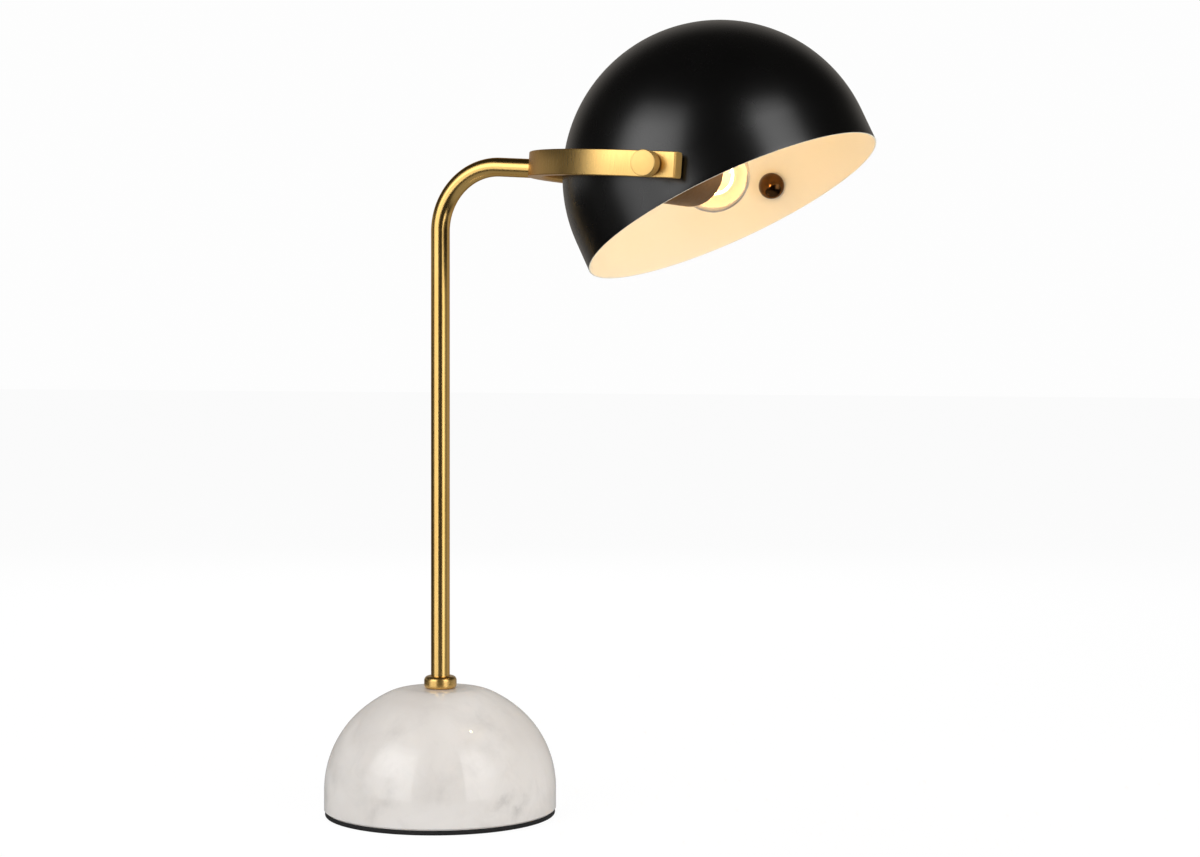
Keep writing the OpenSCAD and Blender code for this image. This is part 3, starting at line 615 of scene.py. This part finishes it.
def make_stem():
    outline = rounded([(STEM_R, 0, 0), (COLLAR_R, 0, COLLAR_FOOT_ROUND),
                       (COLLAR_R, COLLAR_H, COLLAR_TOP_ROUND), (STEM_R, COLLAR_H, 0)], steps=10)
    collar = lathe("stem_collar", outline, shift(0, 0, SEAT_Z), "stand",
                   [MATERIALS["polished_brass"]])
    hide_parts("collar")

    section = arc((0, 0), STEM_R, 0, 360, 64)[:-1]
    bend_tangent = BEND_R * math.tan(math.radians(90 + ARM_DROOP) / 2)
    arm_end = YOKE_CX - YOKE_HALF_W + BAR_WALL
    side = Vector((0, 1, 0))
    stations = [(Vector((0, 0, SEAT_Z)), Vector((-1, 0, 0)), side)]
    steps = 48
    for i in range(steps + 1):
        a = math.radians(90 + ARM_DROOP) * i / steps
        outward = Vector((-math.cos(a), 0, math.sin(a)))
        centre = Vector((BEND_R, 0, ARM_Z - bend_tangent))
        stations.append((centre + outward * BEND_R, outward, side))
    along = Vector((math.cos(math.radians(ARM_DROOP)), 0, -math.sin(math.radians(ARM_DROOP))))
    stations.append((Vector((0, 0, ARM_Z)) + along * arm_end, stations[-1][1], side))
    tube = sweep("stem", section, stations, STAND_FRAME, "stand", [MATERIALS["satin_brass"]])
    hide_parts("stem_tube")


# Yoke

# Rounding of the bar's outer edges, and the least that is left of it where the section is inset, in
# millimetres
BAR_EDGE, LEAST_EDGE = 0.5, 0.1


def bar_outline(inset=0.0):
    """Section of the bar: x across it from the face towards the shade, y up it."""
    half = BAR_H / 2 - inset
    near, far = inset, BAR_T - inset
    edge = max(BAR_EDGE - inset, LEAST_EDGE)
    return rounded([(near, -half, BAR_ROUND - inset), (far, -half, edge), (far, half, edge),
                    (near, half, BAR_ROUND - inset)])


def make_yoke():
    up = Vector((0, 0, 1))
    stations = []
    leg, leg_steps, steps = LEG_END - END_PLATE_T, 4, 128
    for i in range(leg_steps + 1):
        place = Vector((YOKE_CX + leg * (1 - i / leg_steps), YOKE_INNER_W, 0))
        stations.append((place, Vector((0, 1, 0)), up))
    for i in range(1, steps + 1):
        a = math.radians(90 + 180 * i / steps)
        outward = Vector((math.cos(a), math.sin(a), 0))
        stations.append((Vector((YOKE_CX, 0, 0)) + outward * YOKE_INNER_W, outward, up))
    for i in range(1, leg_steps + 1):
        place = Vector((YOKE_CX + leg * i / leg_steps, -YOKE_INNER_W, 0))
        stations.append((place, Vector((0, -1, 0)), up))
    bar = sweep("yoke_bar", bar_outline(), stations, ARM_FRAME, "stand",
                [MATERIALS["brushed_brass"]])
    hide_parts("yoke")


def make_end_plates():
    """Plates that close the legs: a hairline at the joint, and a softened rim."""
    seam, rim = 0.12, 0.4
    profile = [(0, seam), (seam, seam), (2 * seam, 0), (END_PLATE_T - rim, 0)]
    profile += [(END_PLATE_T - rim + rim * math.sin(a), rim * (1 - math.cos(a)))
                for a in (math.radians(15 * k) for k in range(1, 7))]
    sections = [bar_outline(inset) for _, inset in profile]
    for side, name in ((-1, "near_end_plate"), (1, "far_end_plate")):
        start = YOKE_CX + LEG_END - END_PLATE_T
        outward, up = Vector((0, side, 0)), Vector((0, 0, 1))
        stations = [(Vector((start + out, side * YOKE_INNER_W, 0)), outward, up)
                    for out, _ in profile]
        # The plates take the filed brass that is painted lighter as a highlight
        plate = sweep(name, sections, stations, ARM_FRAME, "stand", [MATERIALS["lit_filed_brass"]])
        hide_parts("yoke_end_plates")


# Rounded edges of a knob at its foot and at its bore, and the difference under which two radii are
# the same, in millimetres
KNOB_FOOT_ROUND, KNOB_BORE_ROUND, SAME_R = 0.3, 0.2, 0.01


def make_knobs():
    bore_end = KNOB_H - KNOB_FACE_T
    outline = rounded([(0, KNOB_H, 0), (KNOB_R, KNOB_H, KNOB_CHAMFER), (KNOB_R, 0, KNOB_FOOT_ROUND),
                       (PIVOT_HOLE_R, 0, KNOB_BORE_ROUND), (PIVOT_HOLE_R, bore_end, 0),
                       (0, bore_end, 0)])
    # The bands that lie on the knob's side are filed, in brass painted lighter as a highlight, the
    # others turned
    radii = [r for r, _ in outline]
    index = [int(min(r, after) > KNOB_R - SAME_R) for r, after in zip(radii, radii[1:] + radii[:1])]
    for side, body in ((-1, "near_knob"), (1, "far_knob")):
        place = PIVOT_FRAME[side] @ shift(0, 0, YOKE_HALF_W + KNOB_WASHER_T)
        knob = lathe("thumb_" + body, outline, place, body,
                     [MATERIALS["turned_brass"], MATERIALS["lit_filed_brass"]],
                     closed=False, segments=96, index=index)
        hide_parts(body)


# Shade

# Rounding of the edges of thin sheet, in millimetres
SHEET_ROUND = 0.3
# Faces along each rounded edge of the rim. The lining's paint goes over the rim to the middle of
# the outer one
LIP_STEPS = 6
# How far above the rim the outline of its lip starts, in millimetres
LIP_H = 3


def make_shade():
    rim_z = -PIVOT_RISE - SKIRT_H
    inner_r = SHADE_R - SHADE_T
    middle = (0, -PIVOT_RISE)
    lip = rounded([(SHADE_R, rim_z + LIP_H, 0), (SHADE_R, rim_z, SHEET_ROUND),
                   (inner_r, rim_z, SHEET_ROUND), (inner_r, rim_z + LIP_H, 0)], LIP_STEPS)
    outside = arc(middle, SHADE_R, 90, 0, 72)
    inside = arc(middle, inner_r, 0, 90, 72)
    outline = outside + lip + inside
    cream_from = len(outside) + 1 + LIP_STEPS // 2
    index = [0 if k < cream_from else 1 for k in range(len(outline))]
    dome = lathe("dome_shade", outline, SHADE_FRAME, "shade",
                 [MATERIALS["black_paint"], MATERIALS["cream_paint"]], closed=False, segments=256,
                 index=index, baked=True)
    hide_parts("shade")

    dome_r = (CAP_NUT_DOME ** 2 + CAP_NUT_R ** 2) / (2 * CAP_NUT_DOME)
    top = CAP_NUT_RIM + CAP_NUT_DOME
    edge = math.degrees(math.acos(CAP_NUT_R / dome_r))
    outline = [(0, 0), (CAP_NUT_R, 0)] + arc((0, top - dome_r), dome_r, edge, 90, 24)
    place = PIVOT_FRAME[1] @ shift(0, 0, SEAT_Y) @ turn(180, "X")
    nut = lathe("round_nut", outline, place, "shade", [MATERIALS["dark_bronze"]], closed=False,
                segments=96)
    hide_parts("cap_nut")


# Lampholder and bulb

def make_cup():
    inner_round = CUP_ROUND - CUP_WALL
    inner_r = CUP_R - CUP_WALL
    outline = rounded([(PIVOT_HOLE_R, 0, 0), (CUP_R, 0, CUP_ROUND), (CUP_R, CUP_L, SHEET_ROUND),
                       (inner_r, CUP_L, SHEET_ROUND), (inner_r, CUP_WALL, inner_round),
                       (PIVOT_HOLE_R, CUP_WALL, 0)], steps=10)
    cup = lathe("lamp_cup", outline, HOLDER_FRAME, "shade", [MATERIALS["bronze"]])
    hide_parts("socket_cup")


# How far the glass reaches into its cap, in millimetres
NECK_LAP = 2


def glass_outline(inset):
    """Half section of the glass from the neck's foot to the top of the ball."""
    r, neck, sweep_r = GLOBE_R - inset, NECK_R - inset, NECK_SWEEP_R + inset
    sweep_cy = GLOBE_Y - math.sqrt((r + sweep_r) ** 2 - (neck + sweep_r) ** 2)
    touch = math.degrees(math.atan2(GLOBE_Y - sweep_cy, neck + sweep_r))
    return ([(neck, LAMP_CAP_L - NECK_LAP)]
            + arc((neck + sweep_r, sweep_cy), sweep_r, 180, 180 - touch, 14)
            + arc((0, GLOBE_Y), r, -touch, 90, 48)[1:])


def make_bulb():
    outline = glass_outline(0) + glass_outline(GLASS_WALL)[::-1]
    globe = lathe("clear_globe", outline, BULB_FRAME, "bulb", [MATERIALS["glass"]],
                  segments=128, sharp=60)
    globe.visible_shadow = False
    globe.visible_glossy = False
    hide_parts("bulb_glass")


def make_filament():
    """Coiled wire on the loop that the supports hold."""
    first, last = math.radians(SUPPORT_ANGLES[0]), math.radians(SUPPORT_ANGLES[-1])
    turns, steps, coil_r, wire_r = 64, 12, 0.75, 0.17
    curve = bpy.data.curves.new("lit_coil", "CURVE")
    curve.dimensions = "3D"
    curve.bevel_depth = wire_r * MM
    curve.bevel_resolution = 2
    curve.use_fill_caps = True
    spline = curve.splines.new("POLY")
    spline.points.add(turns * steps)
    for i, point in enumerate(spline.points):
        share = i / (turns * steps)
        a, t = first + (last - first) * share, 2 * math.pi * turns * share
        r = FILAMENT_R + coil_r * math.cos(t)
        z = GLOBE_Y + FILAMENT_RISE + coil_r * math.sin(t)
        point.co = (r * math.cos(a) * MM, r * math.sin(a) * MM, z * MM, 1)
    coil = bpy.data.objects.new("lit_coil", curve)
    bpy.context.scene.collection.objects.link(coil)
    coil.matrix_world = BULB_FRAME
    curve.materials.append(MATERIALS["filament"])
    coil.visible_shadow = False
    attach(coil, "bulb")
    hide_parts("filament")


# CAD nodes that keep their shape, and the finish of each

CAD_FINISHES = {
    "clamp_plate": "zinc",
    "base_rod": "yellow_zinc",
    "lock_washer": "zinc",
    "base_nut": "zinc",
    "friction_washers": "fibre",
    "near_pivot_tube": "yellow_zinc",
    "far_pivot_stud": "yellow_zinc",
    "seat_washers": "fibre",
    "socket_nut": "zinc",
    "holder_end": "phenolic",
    "contact_block": "porcelain",
    "screw_shell": "contact_brass",
    "holder_sleeve": "phenolic",
    "centre_contact": "contact_brass",
    "terminal_screws": "contact_brass",
    "bulb_cap": "nickel",
    "cap_insulator": "black_glass",
    "tip_contact": "nickel",
    "bulb_mount": "glass",
    "support_wires": "nickel",
    "near_knob_washer": "rubber",
    "far_knob_washer": "rubber",
}


def dress_cad_nodes():
    for node, finish in CAD_FINISHES.items():
        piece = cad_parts[node]
        for k in range(len(piece.material_slots)):
            piece.material_slots[k].material = MATERIALS[finish]
    for node in ("bulb_mount", "support_wires"):
        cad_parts[node].visible_shadow = False
        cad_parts[node].visible_glossy = False


# Studio

# Light of the room on matt surfaces
ROOM_LIGHT = 0.24
# What reflections see of the room: the dark, and soft glows, each with its bearing in degrees to
# the right of the camera, its elevation, the cosine at which it ends, and its strength
STUDIO_TINT, STUDIO_DARK = (1, 0.93, 0.85, 1), 0.022
STUDIO_GLOWS = ((180, 5, 0.62, 0.33), (120, -15, 0.7, 0.26))
# What reflections see of the floor under the lamp, and the distances, in metres, over which they
# come to see through it
NEAR_FLOOR, FLOOR_FADE = 0.34, (0.35, 0.6)
# What the camera sees of the backdrop and of the floor's own glow, and the share of that glow in
# the floor that it sees. The rest is lit, and keeps the shadow
BACKDROP_WHITE, FLOOR_WHITE, GLOW_SHARE = 0.985, 1.03, 0.92
FLOOR_SIZE, FLOOR_COLOUR = 30, (0.8, 0.8, 0.8, 1)
WHITE = (1, 1, 1, 1)
# Power, colour and radius of the light in the bulb
BULB_POWER, BULB_COLOUR, BULB_LIGHT_R = 0.09, (1.0, 0.67, 0.31), 0.009


def area_light(name, place, target, size, power):
    lamp = bpy.data.lights.new(name, "AREA")
    lamp.shape = "RECTANGLE"
    lamp.size, lamp.size_y = size
    lamp.energy = power
    holder = bpy.data.objects.new(name, lamp)
    bpy.context.scene.collection.objects.link(holder)
    holder.location = place
    holder.rotation_euler = (Vector(target) - Vector(place)).to_track_quat("-Z", "Y").to_euler()
    holder.visible_camera = False
    holder.visible_transmission = False
    return holder


def ray_kinds(tree, kinds):
    """1 for a ray of any of the kinds, else 0."""
    path = tree.nodes.new("ShaderNodeLightPath")
    total = path.outputs[kinds[0]]
    for kind in kinds[1:]:
        either = tree.nodes.new("ShaderNodeMath")
        either.operation = "MAXIMUM"
        tree.links.new(total, either.inputs[0])
        tree.links.new(path.outputs[kind], either.inputs[1])
        total = either.outputs[0]
    return total


def ranged(tree, value, before, after):
    """The value, carried smoothly from the range before to the range after."""
    node = tree.nodes.new("ShaderNodeMapRange")
    node.interpolation_type = "SMOOTHSTEP"
    for socket, number in zip(RANGE_SOCKETS, (*before, *after)):
        node.inputs[socket].default_value = number
    tree.links.new(value, node.inputs["Value"])
    return node.outputs["Result"]


def mix(tree, share, a, b):
    """Shader a, with its share of shader b."""
    node = tree.nodes.new("ShaderNodeMixShader")
    tree.links.new(share, node.inputs["Fac"])
    tree.links.new(a.outputs[0], node.inputs[1])
    tree.links.new(b.outputs[0], node.inputs[2])
    return node


def make_floor():
    """White floor. The rays that show it see it glow, reflections look through its far parts, and
    it keeps the lamp's shadow."""
    bpy.ops.mesh.primitive_plane_add(size=FLOOR_SIZE, location=(0, 0, 0))
    floor = bpy.context.object
    floor.name = "studio_floor"
    material = bpy.data.materials.new("floor_white")
    material.use_nodes = True
    material.cycles.emission_sampling = "NONE"
    tree = material.node_tree
    matt = tree.nodes.new("ShaderNodeBsdfDiffuse")
    matt.inputs["Color"].default_value = FLOOR_COLOUR
    seen = tree.nodes.new("ShaderNodeEmission")
    seen.inputs["Strength"].default_value = FLOOR_WHITE
    mirrored = tree.nodes.new("ShaderNodeEmission")
    mirrored.inputs["Strength"].default_value = NEAR_FLOOR
    gone = tree.nodes.new("ShaderNodeBsdfTransparent")
    place = tree.nodes.new("ShaderNodeTexCoord")
    reach = tree.nodes.new("ShaderNodeVectorMath")
    reach.operation = "LENGTH"
    tree.links.new(place.outputs["Object"], reach.inputs[0])
    share = tree.nodes.new("ShaderNodeMath")
    share.operation = "MULTIPLY"
    share.inputs[1].default_value = GLOW_SHARE
    tree.links.new(ray_kinds(tree, ["Is Camera Ray", "Is Transmission Ray"]), share.inputs[0])
    mirrored = mix(tree, ranged(tree, reach.outputs["Value"], FLOOR_FADE, (0, 1)), mirrored, gone)
    lit = mix(tree, ray_kinds(tree, ["Is Glossy Ray"]), matt, mirrored)
    surface = mix(tree, share.outputs[0], lit, seen)
    tree.links.new(surface.outputs[0], tree.nodes["Material Output"].inputs["Surface"])
    floor.data.materials.append(material)


def make_world():
    """White behind the lamp, an even light for matt surfaces, and for reflections a dim studio,
    darkest on the camera's side."""
    world = bpy.data.worlds.new("studio")
    bpy.context.scene.world = world
    world.use_nodes = True
    world.cycles.sampling_method = "NONE"
    tree = world.node_tree
    room = tree.nodes["Background"]
    room.inputs["Color"].default_value = WHITE
    room.inputs["Strength"].default_value = ROOM_LIGHT
    white = tree.nodes.new("ShaderNodeBackground")
    white.inputs["Color"].default_value = WHITE
    white.inputs["Strength"].default_value = BACKDROP_WHITE
    studio = tree.nodes.new("ShaderNodeBackground")
    studio.inputs["Color"].default_value = STUDIO_TINT
    way = tree.nodes.new("ShaderNodeTexCoord")
    total = None
    for bearing, elevation, end, strength in STUDIO_GLOWS:
        facing = tree.nodes.new("ShaderNodeVectorMath")
        facing.operation = "DOT_PRODUCT"
        middle = Vector(studio_place(bearing, 1, math.tan(math.radians(elevation))))
        facing.inputs[1].default_value = middle.normalized()
        tree.links.new(way.outputs["Generated"], facing.inputs[0])
        dark = 0 if total else STUDIO_DARK
        glow = ranged(tree, facing.outputs["Value"], (end, 1), (dark, strength))
        if total:
            both = tree.nodes.new("ShaderNodeMath")
            both.operation = "ADD"
            tree.links.new(total, both.inputs[0])
            tree.links.new(glow, both.inputs[1])
            glow = both.outputs[0]
        total = glow
    tree.links.new(total, studio.inputs["Strength"])
    lit = mix(tree, ray_kinds(tree, ["Is Glossy Ray"]), room, studio)
    sky = mix(tree, ray_kinds(tree, ["Is Camera Ray", "Is Transmission Ray"]), lit, white)
    tree.links.new(sky.outputs[0], tree.nodes["World Output"].inputs["Surface"])


# The camera's place in metres, and its focal length and horizon in pixels of a picture of this size
CAMERA_PLACE = (0.7352, -1.3531, 0.29351)
PICTURE_W, PICTURE_H, FOCAL_PX, HORIZON_PX = 1200, 857, 2400, 354.41
SENSOR_W = 36


def make_camera():
    camera = bpy.data.objects.new("camera", bpy.data.cameras.new("camera"))
    bpy.context.scene.collection.objects.link(camera)
    camera.location = CAMERA_PLACE
    camera.rotation_euler = (math.radians(90), 0, math.radians(CAMERA_TURN))
    camera.data.sensor_width = SENSOR_W
    camera.data.lens = SENSOR_W * FOCAL_PX / PICTURE_W
    camera.data.shift_y = -(PICTURE_H / 2 - HORIZON_PX) / PICTURE_W
    bpy.context.scene.camera = camera


def studio_place(bearing, distance, height):
    """A point round the lamp, in metres, its bearing in degrees to the right of the camera."""
    a = math.radians(CAMERA_TURN + bearing)
    return (math.sin(a) * distance, -math.cos(a) * distance, height)


# Soft boxes, as upright strips side by side: bearing, and the brightness of the strip's lower and
# upper parts. The lower parts reach below the floor, which lets reflections through far out, so
# that the stem mirrors them down to its collar. Above the shoulder a strip has a share of its
# upper part's brightness
STRIP_TURN, STRIP_DISTANCE = 6, 1.7
STRIP_FOOT, STRIP_MIDDLE, STRIP_SHOULDER, STRIP_TOP = -0.3, 0.58, 1.65, 2.15
SHOULDER_SHARE = 0.5
LEFT_BOX = (
    (-27, 1.6, 1.9), (-33, 1.7, 2.2), (-39, 1.55, 2.4), (-45, 1.25, 2.5), (-51, 1.1, 2.6),
    (-57, 1.6, 2.7), (-63, 1.5, 2.4), (-69, 1.2, 1.8), (-75, 0.9, 1.0),
)
RIGHT_BOX = (
    (31, 1.8, 2.5), (37, 1.95, 2.8), (43, 1.95, 2.9), (49, 1.7, 2.8), (55, 1.1, 2.3),
    (61, 0.6, 1.4),
)
# Dimmer walls beside them: bearings, brightness, foot and top
WALLS = (
    (range(-81, -108, -STRIP_TURN), 0.05, STRIP_FOOT, 0.7),
    (range(-111, -145, -STRIP_TURN), 0.3, 0.35, 0.7),
    (range(67, 128, STRIP_TURN), 0.17, STRIP_FOOT, 0.7),
)
# Lights that no reflection shows: name, place, target, size and power. One stands for the light
# that the floor sends up, one hangs overhead, and one fills the back
FILLS = (
    ("floor_card", studio_place(80, 0.9, 0.12), (0.12, 0, 0.36), (0.5, 0.2), 1.5),
    ("overhead", (-0.5, -0.2, 2.1), (0, 0, 0.1), (1.4, 1.4), 12),
    ("back_fill", studio_place(180, 1.6, 1.0), (0, 0, 0.1), (1.5, 1.0), 9),
)


def strip(name, bearing, brightness, foot, top):
    """A strip of the given brightness, as wide as the turn from one strip to the next."""
    width = 2 * STRIP_DISTANCE * math.tan(math.radians(STRIP_TURN / 2))
    middle, height = (foot + top) / 2, top - foot
    area_light(name, studio_place(bearing, STRIP_DISTANCE, middle), (0, 0, middle), (width, height),
               brightness * math.pi * width * height)


def make_lights():
    for bearing, low, high in LEFT_BOX + RIGHT_BOX:
        strip(f"box_low_{bearing}", bearing, low, STRIP_FOOT, STRIP_MIDDLE)
        strip(f"box_high_{bearing}", bearing, high, STRIP_MIDDLE, STRIP_SHOULDER)
        strip(f"box_top_{bearing}", bearing, high * SHOULDER_SHARE, STRIP_SHOULDER, STRIP_TOP)
    for bearings, brightness, foot, top in WALLS:
        for bearing in bearings:
            strip(f"wall_{bearing}", bearing, brightness, foot, top)
    for name, *light in FILLS:
        area_light(name, *light).visible_glossy = False
    bulb = bpy.data.lights.new("bulb_light", "POINT")
    bulb.energy = BULB_POWER
    bulb.color = BULB_COLOUR
    bulb.shadow_soft_size = BULB_LIGHT_R
    glow = bpy.data.objects.new("bulb_light", bulb)
    bpy.context.scene.collection.objects.link(glow)
    glow.location = BULB_FRAME @ Vector((0, 0, (GLOBE_Y + FILAMENT_RISE) * MM))
    glow.visible_camera = False
    glow.visible_transmission = False


make_camera()
make_base()
make_stem()
make_yoke()
make_end_plates()
make_knobs()
make_shade()
make_cup()
make_bulb()
make_filament()
dress_cad_nodes()
make_floor()
make_world()
make_lights()
bpy.context.scene.view_settings.view_transform = "Standard"
